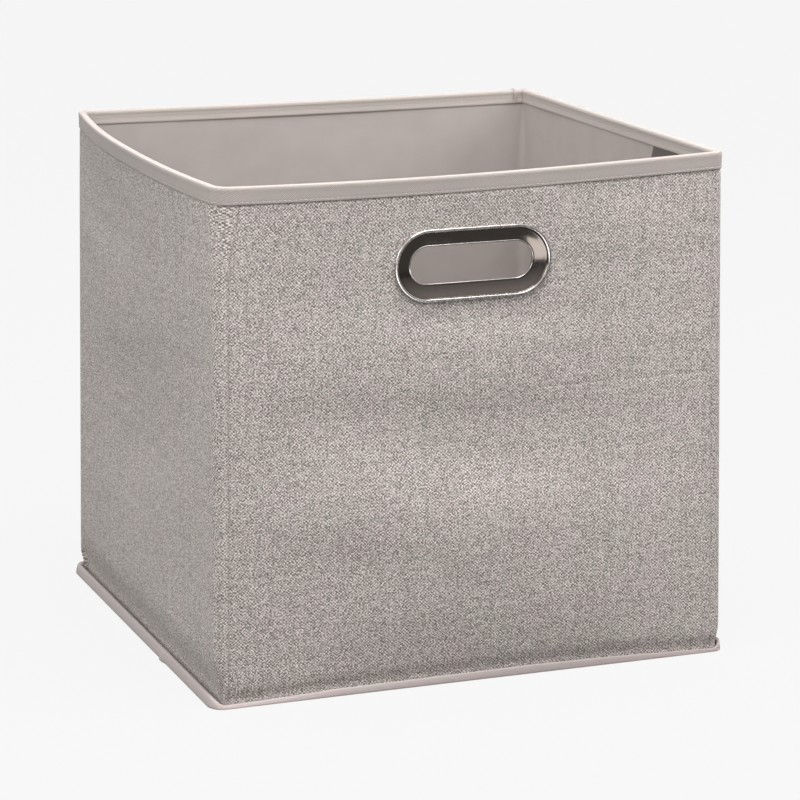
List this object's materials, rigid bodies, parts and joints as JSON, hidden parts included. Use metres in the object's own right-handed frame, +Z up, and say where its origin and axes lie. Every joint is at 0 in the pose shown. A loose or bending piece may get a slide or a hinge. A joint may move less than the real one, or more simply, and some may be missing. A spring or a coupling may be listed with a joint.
{
  "type": "fabric storage bin",
  "caption": "Collapsible open-topped cube bin with stiffened fabric walls, a bound rim, a hemmed foot, an oval metal grip handle and a loose base board.",
  "frame": {"origin": "middle of the footprint on the floor", "axes": "+Z up, -Y towards the wall with the handle, +X to the right as seen facing the handle"},
  "size_m": [0.3188, 0.3128, 0.308],
  "materials": {
    "outer_cloth": "heathered linen-look plain weave, matt",
    "lining_cloth": "smooth felted non-woven, matt",
    "tape": "fine twill binding tape, matt",
    "cardboard": "plain grey-brown board",
    "handle_metal": "polished gunmetal plating",
    "label_cloth": "dark woven ribbon, blank"
  },
  "bodies": {
    "base_and_back": {"back_outer": "outer_cloth", "back_board": "cardboard", "back_lining": "lining_cloth", "back_binding": "tape", "hem_front": "tape", "hem_back": "tape", "hem_left": "tape", "hem_right": "tape", "base_cloth": "outer_cloth"},
    "left_rear_panel": {"left_rear_outer": "outer_cloth", "left_rear_board": "cardboard", "left_rear_lining": "lining_cloth", "left_rear_binding": "tape"},
    "left_front_panel": {"left_front_outer": "outer_cloth", "left_front_board": "cardboard", "left_front_lining": "lining_cloth", "left_front_binding": "tape"},
    "front_wall": {"front_outer": "outer_cloth", "front_board": "cardboard", "front_lining": "lining_cloth", "front_binding": "tape", "handle_face": "handle_metal", "handle_washer": "handle_metal"},
    "right_front_panel": {"right_front_outer": "outer_cloth", "right_front_board": "cardboard", "right_front_lining": "lining_cloth", "right_front_binding": "tape", "care_label": "label_cloth"},
    "right_rear_panel": {"right_rear_outer": "outer_cloth", "right_rear_board": "cardboard", "right_rear_lining": "lining_cloth", "right_rear_binding": "tape"},
    "base_board": {"insert_board": "cardboard", "insert_cover": "lining_cloth"}
  },
  "joints": [
    {"name": "left_rear_fold", "type": "hinge", "parent": "base_and_back", "child": "left_rear_panel", "pos_m": [-0.1514, 0.1464, 0], "axis": [0, 0, 1], "range_deg": [0, 90]},
    {"name": "left_crease", "type": "hinge", "parent": "left_rear_panel", "child": "left_front_panel", "pos_m": [-0.1605, 0.0003, 0], "axis": [0, 0, 1], "range_deg": [-180, 0]},
    {"name": "left_front_fold", "type": "hinge", "parent": "left_front_panel", "child": "front_wall", "pos_m": [-0.1514, -0.1458, 0], "axis": [0, 0, 1], "range_deg": [0, 90]},
    {"name": "right_front_fold", "type": "hinge", "parent": "front_wall", "child": "right_front_panel", "pos_m": [0.1514, -0.1458, 0], "axis": [0, 0, 1], "range_deg": [0, 90]},
    {"name": "right_rear_fold", "type": "hinge", "parent": "base_and_back", "child": "right_rear_panel", "pos_m": [0.1514, 0.1464, 0], "axis": [0, 0, 1], "range_deg": [-90, 0]},
    {"name": "base_board_lift", "type": "slide", "parent": "base_and_back", "child": "base_board", "axis": [0, 0, 1], "range_m": [0, 0.32]}
  ],
  "couplings": [
    {"joint": "left_crease", "follows": "left_rear_fold", "ratio": -2},
    {"joint": "left_front_fold", "follows": "left_rear_fold", "ratio": 1},
    {"joint": "right_front_fold", "follows": "left_rear_fold", "ratio": 1},
    {"joint": "right_rear_fold", "follows": "left_rear_fold", "ratio": -1}
  ]
}
